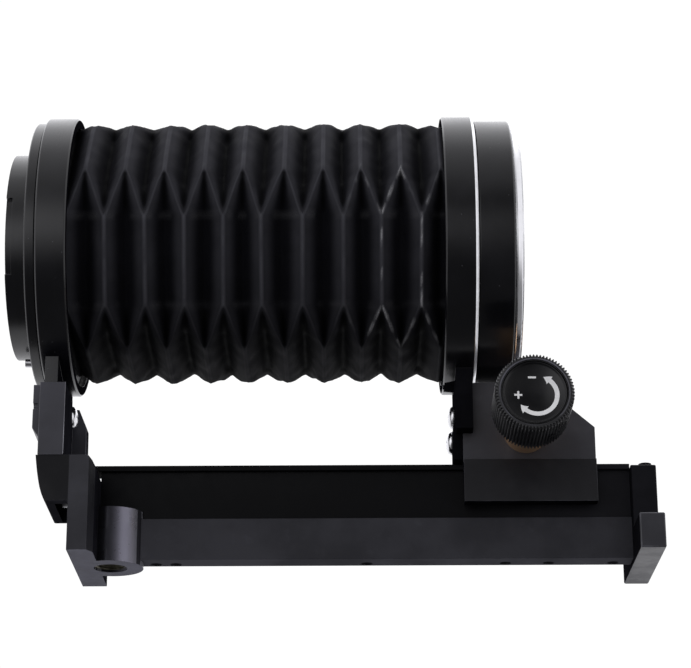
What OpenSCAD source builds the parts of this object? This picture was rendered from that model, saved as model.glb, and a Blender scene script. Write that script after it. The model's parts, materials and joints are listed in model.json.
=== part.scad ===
// Macro bellows unit.
// Frame: origin at the mouth of the tripod socket, on the plane the feet stand on.
// +X runs along the rail from the camera side to the lens side, +Z is up.
// The knob is on the -Y side. All sizes in millimetres.

/* [Rail] */
// Half width of the rail's top and bottom flanges
rail_half_w = 3; // [2.6:0.1:3.2]
// Height of the rail's bottom face above the feet
rail_z0 = 1.1; // [0.6:0.1:2]
// Height of the rail's top face above the feet
rail_z1 = 22.8; // [22.4:0.1:23]
// Left face of the front foot, which is the rail's right end
rail_x1 = 115.6; // [112:0.1:124]

/* [Feet] */
// Half length of each foot across the rail
foot_half = 16.8; // [15:0.1:18]
// Height of the front foot
foot_h = 7.8; // [6:0.1:9]

/* [Rings] */
// Height of the optical axis above the feet
axis_h = 74.0; // [73:0.1:76]
// Radius of the two large rings
ring_r = 32.2; // [31.5:0.1:32.5]
// Radius of the clear path inside the rings
throat_r = 24; // [20:0.5:24]

/* [Bellows] */
// Corner radius of the folded tube
bellows_r = 28.9; // [27:0.1:29.4]
// Wall depth of the folds
bellows_t = 4; // [3:0.1:4.2]

/* [Knob] */
// Radius of the knurled knob
knob_r = 8.55; // [7:0.05:10]
// Length of the knob
knob_l = 14; // [9:0.1:15]
// Number of teeth round the knob
knob_teeth = 72; // [48:1:90]

/* [Hidden] */
$fn = 96;

black = [0.10, 0.10, 0.11];
dark = [0.06, 0.06, 0.07];
steel = [0.78, 0.78, 0.80];
brass = [0.80, 0.56, 0.34];
e = 0.01;

// rear end bracket
plate_x0 = -8;
plate_x1 = -2.5;
plate_h = 21.3;
block_x0 = -15.4;
block_z0 = 11;
boss_r = 7.25;
boss_h = 12.3;
// rear standard
std_x0 = -15;
std_x1 = -9.4;
seat_x = -10.07;
tab_x1 = -11.6;
std_z1 = 38;
std_half = 17;
// positions along the axis
rr_x0 = -15.8;
rr_x1 = -8.94;
fl_x0 = -18.3;
bay_x0 = -23.5;
fr_x0 = 74.33;
fr_x1 = 81.7;
fb_x1 = 89.8;
lb_x1 = 91.7;
// carriage
car_x0 = 78.4;
car_x1 = 107.9;
skirt_x0 = 78.5;
skirt_x1 = 108;
car_z1 = 41;
skirt_z0 = 13.3;
skirt_z1 = 23;
chan = 3.3;
split_y = 2;
// knob axis
knob_x = 92.4;
knob_z = 29.3;
knob_y1 = -20.8;
knob_y0 = knob_y1 - knob_l;

// a cylinder along +X that starts at x0, on the optical axis
module ax(x0, x1, r) translate([x0, 0, axis_h]) rotate([0, 90, 0]) cylinder(h = x1 - x0, r = r);
// a cylinder along +X at any height and depth
module cx(x0, x1, r, y, z) translate([x0, y, z]) rotate([0, 90, 0]) cylinder(h = x1 - x0, r = r);
// a cylinder along +Y
module cy(y0, y1, r, x, z) translate([x, y0, z]) rotate([-90, 0, 0]) cylinder(h = y1 - y0, r = r);
// a box from one corner to the other
module bx(a, b) translate(a) cube([b[0] - a[0], b[1] - a[1], b[2] - a[2]]);
// a turned ring with small bevels on its outer edges
module turned(x0, x1, r, c = 0.3, c1 = 0) let (d = c1 > 0 ? c1 : c) translate([x0, 0, axis_h]) rotate([0, 90, 0])
    rotate_extrude() polygon([[0, 0], [r - c, 0], [r, c], [r, x1 - x0 - d], [r - d, x1 - x0], [0, x1 - x0]]);

module rail() color(dark) difference() {
    union() {
        translate([plate_x1, 0, 0]) rotate([90, 0, 90]) linear_extrude(height = rail_x1 - plate_x1)
            polygon([[-rail_half_w, rail_z0], [rail_half_w, rail_z0], [rail_half_w, 10.5], [2, 10.5], [2, 21.5],
                [rail_half_w, 21.5], [rail_half_w, rail_z1], [-rail_half_w, rail_z1], [-rail_half_w, 21.5],
                [-2, 21.5], [-2, 10.5], [-rail_half_w, 10.5]]);
        // tongue of the top flange that lies over the rear plate
        bx([-4.6, -rail_half_w, 21.5], [0, rail_half_w, rail_z1]);
    }
    translate([0, 0, -1]) cylinder(h = boss_h + 1.02, r = boss_r + 0.02);
    bx([-9, -5, -1], [0, 5, boss_h + 0.02]);
    for (x = [10, 14.4, 56.8, 87.6, 97.2, 111.5]) translate([x, 1.2, 0]) cylinder(h = 6, r = 1.3);
    for (z = [14.9, 19]) cx(-9, 8, 1, 0, z);
    for (z = [13, 18.8]) cx(104, 120, 1.25, 0, z);
}

module rear_end_bracket() color(black) difference() {
    union() {
        // plate with a bevelled upper edge and a bevelled near edge
        intersection() {
            translate([0, foot_half, 0]) rotate([90, 0, 0]) linear_extrude(height = 2 * foot_half)
                polygon([[plate_x0, 0], [plate_x1, 0], [plate_x1, plate_h - 2], [plate_x1 - 0.6, plate_h - 0.9],
                    [plate_x1 - 1.5, plate_h], [plate_x0, plate_h]]);
            linear_extrude(height = plate_h) polygon([[plate_x0, -foot_half], [plate_x1 - 1.2, -foot_half],
                [plate_x1, 2.4 - foot_half], [plate_x1, foot_half], [plate_x0, foot_half]]);
        }
        cylinder(h = boss_h, r = boss_r);
        // block under the standard, with a curved outer side
        translate([0, foot_half, 0]) rotate([90, 0, 0]) linear_extrude(height = 2 * foot_half)
            polygon([[plate_x0 + 1, block_z0], [plate_x0 + 1, plate_h], [block_x0, plate_h], [-15.2, 19.5],
                [-14.95, 17.6], [-14.65, 15.8], [-14.3, 14.1], [-13.85, 12.6], [-13.4, 11.5], [-12.9, block_z0]]);
    }
    // hollow in the block's underside, which rises towards the far side
    bx([-11.2, -13.8, block_z0 - 1], [plate_x0, 2, 16]);
    translate([-20, 0, 0]) rotate([90, 0, 90]) linear_extrude(height = 20 + plate_x0)
        polygon([[2.4, block_z0 - 2], [2.4, block_z0], [foot_half + 1, 16.4], [foot_half + 1, block_z0 - 2]]);
    translate([0, 0, -1]) cylinder(h = 12, r = 3.72);
    for (z = [14.9, 19]) {
        cx(-17, 8, 1, 0, z);
        cx(-17, -12.2, 1.85, 0, z);
    }
    for (y = [-10, 10]) translate([-12.4, y, 16.8]) cylinder(h = 10, r = 1);
}

module front_end_bracket() color(black) difference() {
    union() {
        bx([rail_x1, -foot_half, 0], [rail_x1 + 5.6, foot_half, foot_h]);
        bx([rail_x1, -6, foot_h - 1], [rail_x1 + 5.6, 6, 21.7]);
        translate([rail_x1 + 3.9, 0, 21]) cylinder(h = 2.5, r = 1.45);
    }
    for (z = [13, 18.8]) {
        cx(rail_x1 - 1, 125, 1.25, 0, z);
        cx(rail_x1 + 3.8, 125, 2.2, 0, z);
    }
}

module tripod_bush() color(brass) difference() {
    cylinder(h = 11, r = 3.72);
    translate([0, 0, -1]) cylinder(h = 13, r = 3.175);
}

module rear_bracket_screws() color(steel) for (z = [14.9, 19]) difference() {
    union() {
        cx(-13.5, 6, 1, 0, z);
        cx(-13.5, -12.2, 1.75, 0, z);
    }
    bx([-14, -1.2, z - 0.2], [-13, 1.2, z + 0.2]);
}

module front_bracket_screws() color(steel) for (z = [13, 18.8]) difference() {
    union() {
        cx(106, 120.9, 1.25, 0, z);
        cx(rail_x1 + 3.8, 120.9, 2.1, 0, z);
    }
    bx([120.3, -1.4, z - 0.25], [122, 1.4, z + 0.25]);
}

module rear_standard() color(black) difference() {
    union() {
        bx([std_x0, -std_half, plate_h], [std_x1, std_half, std_z1]);
        // gusset beside the screw
        translate([0, 8, 0]) rotate([90, 0, 0]) linear_extrude(height = 4.8)
            polygon([[seat_x - 0.5, plate_h], [-6.7, plate_h], [-6.85, 33.8], [-8.6, std_z1], [seat_x - 0.5, std_z1]]);
        bx([std_x0 - 1.7, -15, 28], [std_x0 + 1, 15, std_z1]);
        translate([0, 15, 0]) rotate([90, 0, 0]) linear_extrude(height = 30)
            polygon([[std_x0 + 1, 25.6], [std_x0, 25.6], [std_x0 - 1.7, 28], [std_x0 + 1, 28]]);
    }
    // pocket for the ring's tab
    bx([-14.5, -14, 26], [tab_x1, 14, std_z1 + 1]);
    // seat and groove for the screw
    bx([seat_x, -3.2, plate_h - 1], [std_x1 + 1, 3.2, std_z1 + 1]);
    bx([seat_x - 0.8, -1.2, plate_h - 1], [std_x1 + 1, 1.2, 31]);
    // small notch in the pad's edge
    cx(-18, std_x0 - 0.6, 0.8, -14.6, 33);
    cx(-20, -5, 1.5, 0, 35);
    for (y = [-10, 10]) translate([-12.4, y, 16.8]) cylinder(h = 8.2, r = 1);
}

module standard_dowels() color(steel) for (y = [-10, 10]) translate([-12.4, y, 16.8]) cylinder(h = 8.2, r = 1);

module rear_ring() color(dark) difference() {
    union() {
        turned(rr_x0, rr_x1, ring_r, 0.35);
        bx([-14.5, -14, 26], [tab_x1, 14, axis_h - 26]);
    }
    ax(rr_x0 - 1, rr_x1 + 1, throat_r);
    ax(-12, rr_x1 + 1, 30);
    cx(-20, -5, 1.5, 0, 35);
    for (a = [45, 135, 225, 315]) translate([0, 0, axis_h]) rotate([a, 0, 0]) translate([-20, 27.4, 0])
        rotate([0, 90, 0]) cylinder(h = 20, r = 1);
}

// rounded cross-head screw whose seat is at x and whose head points along dir
module pan(x, z, dir, l) difference() {
    translate([x, 0, z]) rotate([0, dir * 90, 0]) union() {
        rotate_extrude() polygon([[0, 0], [2.6, 0], [2.6, 0.55], [2.35, 0.95], [1.8, 1.3], [1, 1.5], [0, 1.55]]);
        translate([0, 0, -l]) cylinder(h = l + e, r = 1.5);
    }
    translate([x + dir * 1.2, 0, z]) cube([1.3, 2.6, 0.5], center = true);
    translate([x + dir * 1.2, 0, z]) cube([1.3, 0.5, 2.6], center = true);
}

module rear_tab_screw() color(steel) pan(seat_x, 35, 1, 5.8);

module camera_bayonet() color(black) difference() {
    union() {
        turned(fl_x0, rr_x0, ring_r - 1.1, 0.3);
        ax(bay_x0, fl_x0 + 1, 22.9);
        ax(bay_x0 + 1.4, fl_x0 + 1, 23.8);
        // three bayonet claws, with gaps between them
        difference() {
            ax(bay_x0, bay_x0 + 1.5, 23.8);
            for (a = [-8.5, 111.5, 231.5]) translate([0, 0, axis_h]) rotate([-a, 0, 0])
                rotate([0, 90, 0]) linear_extrude(height = 100, center = true)
                polygon([[0, 0], [-12, -30], [12, -30]]);
        }
    }
    ax(bay_x0 - 1, rr_x0 + 1, 21.5);
    for (a = [45, 135, 225, 315]) translate([0, 0, axis_h]) rotate([a, 0, 0]) translate([-20, 27.4, 0])
        rotate([0, 90, 0]) union() {
            cylinder(h = 20, r = 1);
            cylinder(h = 3, r = 1.9);
        }
    cx(-19.5, -17, 0.95, 0, axis_h - 25.8);
}

module camera_bayonet_screws() color(steel) for (a = [45, 135, 225, 315])
    translate([0, 0, axis_h]) rotate([a, 0, 0]) difference() {
        union() {
            translate([-18.2, 27.4, 0]) rotate([0, 90, 0]) cylinder(h = 6, r = 1);
            translate([-18.2, 27.4, 0]) rotate([0, 90, 0]) cylinder(h = 1.2, r = 1.85);
        }
        bx([-19, 26.2, -0.2], [-17.8, 28.6, 0.2]);
    }

module bayonet_stop_pin() color(steel) cx(-20.9, -17, 0.95, 0, axis_h - 25.8);

module rear_bellows_frame() color(dark) difference() {
    ax(-12, -10.5, 29.8);
    ax(-13, -9, throat_r);
}

// the folded tube: six-sided, open along the axis, turned so that one side faces forward and down
module bellows() color([0.05, 0.05, 0.055]) translate([0, 0, axis_h]) rotate([23, 0, 0]) rotate([0, 90, 0])
    difference() {
        translate([0, 0, -10.5]) cylinder(h = 86, r = bellows_r, $fn = 6);
        translate([0, 0, -12]) cylinder(h = 90, r = bellows_r - bellows_t, $fn = 6);
    }

module front_bellows_frame() color(dark) difference() {
    ax(75.8, 77.3, 29.8);
    ax(75, 78, throat_r);
}

module front_ring() color(dark) difference() {
    union() {
        turned(fr_x0, fr_x1, ring_r, 0.35, 0.7);
        bx([76.9, -9.8, 29.2], [80.6, 9.8, axis_h - 28]);
        bx([76.4, -5, 23.3], [car_x0, 5, 31.6]);
        bx([76.9, -5, 26], [car_x0, 5, 34]);
    }
    ax(fr_x0 - 1, fr_x1 + 1, throat_r);
    ax(fr_x0 - 1, 77.3, 30);
    for (z = [28.6, 34.6]) cx(70, 90, 1.5, 0, z);
    for (a = [45, 135, 225, 315]) translate([0, 0, axis_h]) rotate([a, 0, 0]) translate([78.2, 28, 0])
        rotate([0, 90, 0]) cylinder(h = 20, r = 1);
}

module front_tab_screws() color(steel) {
    pan(76.9, 34.6, -1, 5);
    pan(76.4, 28.6, -1, 5.5);
}

module front_mount_body() color(dark) difference() {
    turned(fr_x1, fb_x1, ring_r - 1, 0.3);
    ax(fr_x1 - 1, fb_x1 + 1, throat_r);
    ax(86, fb_x1 + 1, 26.5);
    // pocket for the release slider on the far side
    bx([82.7, 25.7, axis_h - 4.2], [fb_x1 + 1, 34, axis_h + 4.2]);
    for (a = [45, 135, 225, 315]) translate([0, 0, axis_h]) rotate([a, 0, 0]) translate([78.2, 28, 0])
        rotate([0, 90, 0]) cylinder(h = 20, r = 1);
}

module lens_bayonet() color([0.85, 0.85, 0.87]) difference() {
    turned(fb_x1, lb_x1, 30.6, 0.35);
    ax(fb_x1 - 1, lb_x1 + 1, 22.2);
    // three openings for the lens claws
    difference() {
        for (a = [30, 150, 270]) translate([0, 0, axis_h]) rotate([a, 0, 0])
            rotate([0, 90, 0]) linear_extrude(height = 300, center = true)
            polygon([[0, 0], [-17, 34], [17, 34]]);
        difference() {
            ax(80, 100, 50);
            ax(79, 101, 25);
        }
    }
    cx(80, 100, 1.15, 27.8, axis_h);
    for (a = [45, 135, 225, 315]) translate([0, 0, axis_h]) rotate([a, 0, 0]) translate([78.2, 28, 0])
        rotate([0, 90, 0]) union() {
            cylinder(h = 20, r = 1);
            translate([0, 0, 12.6]) cylinder(h = 3, r = 1.7);
        }
}

module lens_bayonet_screws() color(steel) for (a = [45, 135, 225, 315])
    translate([0, 0, axis_h]) rotate([a, 0, 0]) difference() {
        union() {
            translate([79, 28, 0]) rotate([0, 90, 0]) cylinder(h = 12.4, r = 1);
            translate([90.8, 28, 0]) rotate([0, 90, 0]) cylinder(h = 0.8, r = 1.65);
        }
        bx([91.2, 26.9, -0.2], [92, 29.1, 0.2]);
        bx([91.2, 27.8, -1.1], [92, 28.2, 1.1]);
    }

module bayonet_springs() color(steel) for (a = [90, 210, 330]) intersection() {
    difference() {
        ax(89.4, fb_x1, 26.3);
        ax(88, 91, 24.4);
    }
    translate([0, 0, axis_h]) rotate([a, 0, 0]) rotate([0, 90, 0]) linear_extrude(height = 300, center = true)
        polygon([[0, 0], [-9, 30], [9, 30]]);
}

module release_slider() color(black) difference() {
    union() {
        bx([85.4, 26, axis_h - 3.9], [88.6, 31.2, axis_h + 3.9]);
        for (x = [85.6, 86.6, 87.6]) bx([x, 31, axis_h - 3.6], [x + 0.6, 32, axis_h + 3.6]);
    }
    cx(80, 95, 1.1, 27.8, axis_h);
}

module lock_pin() color(steel) cx(85.4, 93, 1.1, 27.8, axis_h);

module release_spring() color(steel) difference() {
    cx(82.7, 85.4, 1.9, 27.8, axis_h);
    cx(82, 86, 1.4, 27.8, axis_h);
}

// side outline of the carriage's upper block
module block_outline() polygon([[car_x0, 22.4], [car_x0, 29.1], [80.6, 29.1], [80.6, car_z1], [95.8, car_z1],
    [car_x1, 30.4], [car_x1, 22.4]]);

module carriage() color(black) difference() {
    union() {
        translate([0, split_y, 0]) rotate([90, 0, 0]) linear_extrude(height = split_y + 6.1) block_outline();
        bx([skirt_x0, -6.5, skirt_z0], [skirt_x1, split_y, skirt_z1]);
        // full-depth end that the tab plate sits against
        bx([80.6, -6.1, 29.1], [82, 6.1, car_z1]);
        bx([car_x0, -6.1, 23.1], [82, 6.1, 29.1]);
    }
    // channel for the rail
    bx([70, -chan, 0], [120, 10, 23.1]);
    for (z = [28.6, 34.6]) cx(70, 83, 1.5, 0, z);
    cy(-20, 10, 3.6, knob_x, knob_z);
    for (x = [84.6, 102]) cy(-4, 10, 1.25, x, 25.4);
}

module clamp_jaw() color(black) difference() {
    union() {
        translate([0, 6.1, 0]) rotate([90, 0, 0]) linear_extrude(height = 5.7 - split_y)
            polygon([[82.4, 22.4], [82.4, car_z1], [95.3, car_z1], [107.6, 30.1], [107.6, 22.4]]);
        bx([79.2, split_y + 0.4, 12.7], [skirt_x1, 6.5, 22.4]);
    }
    bx([70, -10, 0], [120, chan, 23.1]);
    cy(0, 10, 2.55, knob_x, knob_z);
    for (x = [84.6, 102]) cy(0, 5.4, 1.3, x, 25.4);
}

module jaw_guide_pins() color(steel) for (x = [84.6, 102]) cy(-4, 5, 1.25, x, 25.4);

module carriage_liner() color([0.75, 0.75, 0.72]) bx([79.8, -chan, 13.8], [107.4, -2.3, 21.2]);

module jaw_liner() color([0.75, 0.75, 0.72]) bx([79.8, 2.35, 13.2], [107.4, chan, 21.2]);

module brass_bush() color(brass) difference() {
    union() {
        cy(-20.4, -6.1, 4.9, knob_x, knob_z);
        cy(-6.2, split_y - 0.2, 3.6, knob_x, knob_z);
    }
    cy(-30, 10, 2.55, knob_x, knob_z);
}

module clamp_screw() color(steel) cy(-32, 6, 2.5, knob_x, knob_z);

module thrust_washer() color(steel) difference() {
    cy(-20.65, -20.4, 4.6, knob_x, knob_z);
    cy(-22, -19, 2.6, knob_x, knob_z);
}

// outline of the knurled grip
module teeth(n, ro, ri) polygon([for (i = [0 : 2 * n - 1]) let (r = i % 2 == 0 ? ro : ri, a = 180 * i / n) [r * cos(a), r * sin(a)]]);

module knob() color(dark) difference() {
    union() {
        translate([knob_x, knob_y1, knob_z]) rotate([90, 0, 0]) linear_extrude(height = knob_l - 0.9)
            teeth(knob_teeth, knob_r, knob_r - 0.35);
        cy(knob_y0, knob_y1, knob_r - 0.45, knob_x, knob_z);
    }
    cy(knob_y0 - 1, knob_y0 + 1.6, 7, knob_x, knob_z);
    cy(-32, 0, 2.5, knob_x, knob_z);
}

module knob_cap() color(dark) difference() {
    cy(knob_y0 + 0.3, knob_y0 + 1.6, 6.95, knob_x, knob_z);
    cy(knob_y0 - 1, knob_y0 + 0.7, 6.3, knob_x, knob_z);
}

rail();
rear_end_bracket();
front_end_bracket();
tripod_bush();
rear_bracket_screws();
front_bracket_screws();
rear_standard();
standard_dowels();
rear_ring();
rear_tab_screw();
camera_bayonet();
camera_bayonet_screws();
bayonet_stop_pin();
rear_bellows_frame();
bellows();
front_bellows_frame();
front_ring();
front_mount_body();
lens_bayonet();
lens_bayonet_screws();
bayonet_springs();
front_tab_screws();
release_slider();
lock_pin();
release_spring();
carriage();
clamp_jaw();
jaw_guide_pins();
carriage_liner();
jaw_liner();
brass_bush();
clamp_screw();
thrust_washer();
knob();
knob_cap();
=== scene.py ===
import json
import math

import bmesh
import bpy
import numpy as np
from mathutils import Matrix, Vector

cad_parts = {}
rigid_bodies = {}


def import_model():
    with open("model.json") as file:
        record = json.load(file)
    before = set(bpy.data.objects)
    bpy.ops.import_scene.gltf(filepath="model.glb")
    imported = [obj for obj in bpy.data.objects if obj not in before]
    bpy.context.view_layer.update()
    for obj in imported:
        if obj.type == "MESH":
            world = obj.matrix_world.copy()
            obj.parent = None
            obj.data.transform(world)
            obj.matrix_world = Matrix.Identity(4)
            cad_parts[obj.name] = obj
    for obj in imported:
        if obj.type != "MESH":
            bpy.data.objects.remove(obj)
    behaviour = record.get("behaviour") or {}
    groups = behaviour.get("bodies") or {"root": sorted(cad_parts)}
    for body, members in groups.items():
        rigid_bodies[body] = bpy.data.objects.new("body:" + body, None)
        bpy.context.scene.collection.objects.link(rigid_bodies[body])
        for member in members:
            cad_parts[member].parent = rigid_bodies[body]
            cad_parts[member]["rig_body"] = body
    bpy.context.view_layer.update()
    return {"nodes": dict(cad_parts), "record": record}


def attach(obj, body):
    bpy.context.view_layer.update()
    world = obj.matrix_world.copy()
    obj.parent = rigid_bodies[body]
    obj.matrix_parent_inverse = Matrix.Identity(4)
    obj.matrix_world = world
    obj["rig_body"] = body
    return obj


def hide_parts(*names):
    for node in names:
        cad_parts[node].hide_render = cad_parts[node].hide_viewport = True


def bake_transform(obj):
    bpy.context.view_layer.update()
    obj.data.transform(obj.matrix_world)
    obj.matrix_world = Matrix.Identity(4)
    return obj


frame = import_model()
NODES = frame["nodes"]
MM = 0.001
AXIS_Z = 74.0
scene = bpy.context.scene


# ---------------------------------------------------------------- helpers

def new_object(name, verts, faces, mat, body=None, smooth=True, scale=MM):
    """A mesh object from points in millimetres, riding on a CAD body."""
    mesh = bpy.data.meshes.new(name)
    mesh.from_pydata([tuple(v) for v in np.asarray(verts, float) * scale], [], [list(map(int, f)) for f in faces])
    mesh.validate()
    mesh.materials.append(mat)
    if smooth:
        mesh.shade_smooth()
    obj = bpy.data.objects.new(name, mesh)
    scene.collection.objects.link(obj)
    if body:
        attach(obj, body)
    return obj


def sharpen(obj, degrees=35):
    """Marks edges above an angle as sharp, so that flats stay flat and curves stay smooth."""
    obj.data.set_sharp_from_angle(angle=math.radians(degrees))


def grid_faces(rows, cols, wrap_rows=False, wrap_cols=False, start=0, flip=False):
    faces = []
    for i in range(rows if wrap_rows else rows - 1):
        for j in range(cols if wrap_cols else cols - 1):
            a = start + i * cols + j
            b = start + i * cols + (j + 1) % cols
            c = start + ((i + 1) % rows) * cols + (j + 1) % cols
            d = start + ((i + 1) % rows) * cols + j
            faces.append((a, d, c, b) if flip else (a, b, c, d))
    return faces


def lathe_x(profile, n=256, z0=AXIS_Z, y0=0.0, phase=0.0):
    """Closed profile of (x, r) turned round an axis along +X."""
    verts = []
    for x, r in profile:
        for k in range(n):
            a = 2 * math.pi * k / n + phase
            verts.append((x, y0 - r * math.cos(a), z0 + r * math.sin(a)))
    return verts, grid_faces(len(profile), n, wrap_rows=True, wrap_cols=True)


def round_corners(points, radius=0.3, steps=3, closed=True):
    """Rounds the corners of an outline of (x, r) points. A point may carry its own radius as a third number."""
    out, n = [], len(points)
    for i, p in enumerate(points):
        r = p[2] if len(p) > 2 else radius
        a, b, c = np.array(points[i - 1][:2], float), np.array(p[:2], float), np.array(points[(i + 1) % n][:2], float)
        u, v = a - b, c - b
        lu, lv = np.linalg.norm(u), np.linalg.norm(v)
        if r <= 0 or lu < 1e-6 or lv < 1e-6:
            out.append(tuple(b))
            continue
        d = min(r, lu * 0.48, lv * 0.48)
        u, v = u / lu * d, v / lv * d
        for k in range(steps + 1):
            t = k / steps
            q = (1 - t) ** 2 * (b + u) + 2 * t * (1 - t) * b + t * t * (b + v)
            out.append(tuple(q))
    return out


def recalc(obj):
    bm = bmesh.new()
    bm.from_mesh(obj.data)
    bmesh.ops.recalc_face_normals(bm, faces=bm.faces)
    bm.to_mesh(obj.data)
    bm.free()


# ---------------------------------------------------------------- materials

class Nodes:
    """Short names for building a procedural material."""

    def __init__(self, name, coords="Object"):
        self.mat = bpy.data.materials.new(name)
        self.mat.use_nodes = True
        self.t = self.mat.node_tree
        self.bsdf = self.t.nodes["Principled BSDF"]
        self.co = self.t.nodes.new("ShaderNodeTexCoord").outputs[coords]

    def link(self, a, b):
        self.t.links.new(a, b)

    def noise(self, scale, detail=3.0, rough=0.55, stretch=None, seed=0.0, distortion=0.0):
        src = self.co
        mp = self.t.nodes.new("ShaderNodeMapping")
        mp.inputs["Location"].default_value = (seed, seed * 1.7, -seed)
        if stretch:
            mp.inputs["Scale"].default_value = stretch
        self.link(src, mp.inputs["Vector"])
        n = self.t.nodes.new("ShaderNodeTexNoise")
        n.inputs["Scale"].default_value = scale
        n.inputs["Detail"].default_value = detail
        n.inputs["Roughness"].default_value = rough
        n.inputs["Distortion"].default_value = distortion
        self.link(mp.outputs[0], n.inputs["Vector"])
        return n.outputs["Fac"]

    def voronoi(self, scale, stretch=None, feature="F1", seed=0.0):
        mp = self.t.nodes.new("ShaderNodeMapping")
        mp.inputs["Location"].default_value = (seed, seed, seed)
        if stretch:
            mp.inputs["Scale"].default_value = stretch
        self.link(self.co, mp.inputs["Vector"])
        n = self.t.nodes.new("ShaderNodeTexVoronoi")
        n.feature = feature
        n.inputs["Scale"].default_value = scale
        self.link(mp.outputs[0], n.inputs["Vector"])
        return n.outputs["Distance"]

    def ramp(self, value, lo, hi, a=0.0, b=1.0, smooth=True):
        n = self.t.nodes.new("ShaderNodeMapRange")
        n.interpolation_type = "SMOOTHSTEP" if smooth else "LINEAR"
        n.inputs["From Min"].default_value = lo
        n.inputs["From Max"].default_value = hi
        n.inputs["To Min"].default_value = a
        n.inputs["To Max"].default_value = b
        self.link(value, n.inputs["Value"])
        return n.outputs["Result"]

    def math(self, op, a, b=None):
        n = self.t.nodes.new("ShaderNodeMath")
        n.operation = op
        for i, v in enumerate((a, b)):
            if v is None:
                continue
            if isinstance(v, (int, float)):
                n.inputs[i].default_value = v
            else:
                self.link(v, n.inputs[i])
        return n.outputs[0]

    def mix(self, fac, a, b):
        n = self.t.nodes.new("ShaderNodeMix")
        n.data_type = "RGBA"
        if isinstance(fac, (int, float)):
            n.inputs["Factor"].default_value = fac
        else:
            self.link(fac, n.inputs["Factor"])
        for key, v in ((6, a), (7, b)):
            if isinstance(v, tuple):
                n.inputs[key].default_value = (*v, 1.0)
            else:
                self.link(v, n.inputs[key])
        return n.outputs[2]

    def xyz(self):
        n = self.t.nodes.new("ShaderNodeSeparateXYZ")
        self.link(self.co, n.inputs[0])
        return n.outputs

    def attribute(self, name):
        n = self.t.nodes.new("ShaderNodeAttribute")
        n.attribute_name = name
        return n.outputs["Fac"]

    def bump(self, height, distance, strength=1.0, under=None):
        n = self.t.nodes.new("ShaderNodeBump")
        n.inputs["Distance"].default_value = distance
        n.inputs["Strength"].default_value = strength
        self.link(height, n.inputs["Height"])
        if under is not None:
            self.link(under, n.inputs["Normal"])
        return n.outputs["Normal"]

    def set(self, **values):
        for key, v in values.items():
            socket = self.bsdf.inputs[key.replace("_", " ")]
            if isinstance(v, (int, float)):
                socket.default_value = v
            elif isinstance(v, tuple):
                socket.default_value = (*v, 1.0) if len(v) == 3 else v
            else:
                self.link(v, socket)
        return self.mat


def tinted(m, colour, value):
    """A colour made lighter and darker by a pattern."""
    n = m.t.nodes.new("ShaderNodeMix")
    n.data_type = "RGBA"
    n.blend_type = "MULTIPLY"
    n.inputs["Factor"].default_value = 1.0
    if isinstance(colour, tuple):
        n.inputs[6].default_value = (*colour, 1.0)
    else:
        m.link(colour, n.inputs[6])
    m.link(value, n.inputs[7])
    return n.outputs[2]


def moulded(name, base, rough=0.42, grain=0.00001, mottle=0.35, spec=0.5, bands=(), far_end=None):
    """Injection-moulded plastic: fine grain, faint flow mottling, uneven gloss. A band gives another colour beyond a plane (axis, millimetres)."""
    m = Nodes(name)
    big = m.noise(55, 4, 0.6, seed=3.1)
    mid = m.noise(260, 3, 0.6, seed=9.7)
    fine = m.noise(2600, 2, 0.6)
    place = m.xyz()
    colour = base
    for axis, at, beyond, soft in bands:
        colour = m.mix(m.ramp(place[axis], (at - soft) * MM, (at + soft) * MM), colour, beyond)
    if far_end:
        start, stop, gain, above = far_end
        along = m.math("MULTIPLY", m.ramp(place[0], start * MM, stop * MM), m.ramp(place[2], above * MM, (above + 0.1) * MM))
        colour = tinted(m, colour, m.ramp(along, 0, 1, 1.0, gain))
    colour = tinted(m, colour, m.ramp(big, 0.34, 0.66, 1 - mottle, 1 + mottle))
    colour = tinted(m, colour, m.ramp(mid, 0.58, 0.78, 1.0, 1.2))
    r = m.math("ADD", m.ramp(big, 0.3, 0.7, rough - 0.07, rough + 0.07), m.ramp(mid, 0.35, 0.65, -0.04, 0.04))
    n1 = m.bump(fine, grain)
    n2 = m.bump(mid, grain * 3, under=n1)
    return m.set(Base_Color=colour, Roughness=r, Normal=n2, Specular_IOR_Level=spec)


def bracket_material():
    """The rear bracket: moulded plate and block, with a satin lilac-grey turned boss. The boss's colour is painted dark
    on its left side as shade and lighter towards its right as a highlight.
    """
    m = Nodes("rear_bracket_black")
    big = m.noise(55, 4, 0.6, seed=3.1)
    mid = m.noise(260, 3, 0.6, seed=9.7)
    fine = m.noise(2600, 2, 0.6)
    x, y, z = m.xyz()
    boss = m.math("MULTIPLY", m.ramp(x, -0.00242, -0.00238), m.ramp(z, 0.0126, 0.0124))
    block = m.ramp(x, -0.0079, -0.0081)
    colour = m.mix(m.ramp(z, 0.004, 0.018), (0.027, 0.027, 0.032), (0.039, 0.039, 0.046))
    colour = m.mix(block, colour, (0.0050, 0.0050, 0.0066))
    colour = tinted(m, colour, m.ramp(big, 0.34, 0.66, 0.75, 1.25))
    # painted shade and highlight on the boss: dark on its left side next to the plate, light towards its right
    turned = m.mix(m.ramp(x, -0.0002, 0.0034), (0.022, 0.022, 0.027), (0.21, 0.205, 0.25))
    turned = m.mix(m.ramp(x, 0.0036, 0.0072), turned, (0.27, 0.27, 0.30))
    colour = m.mix(boss, colour, turned)
    colour = tinted(m, colour, m.ramp(mid, 0.58, 0.78, 1.0, 1.15))
    r = m.math("ADD", m.ramp(big, 0.3, 0.7, 0.38, 0.5), m.ramp(mid, 0.35, 0.65, -0.04, 0.04))
    r = m.math("SUBTRACT", r, m.math("MULTIPLY", boss, 0.17))
    m.bsdf.inputs["Specular IOR Level"].default_value = 0.15
    return m.set(Base_Color=colour, Roughness=r, Metallic=m.math("MULTIPLY", boss, 0.6), Normal=m.bump(mid, 0.00003, under=m.bump(fine, 0.00001)))


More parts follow.
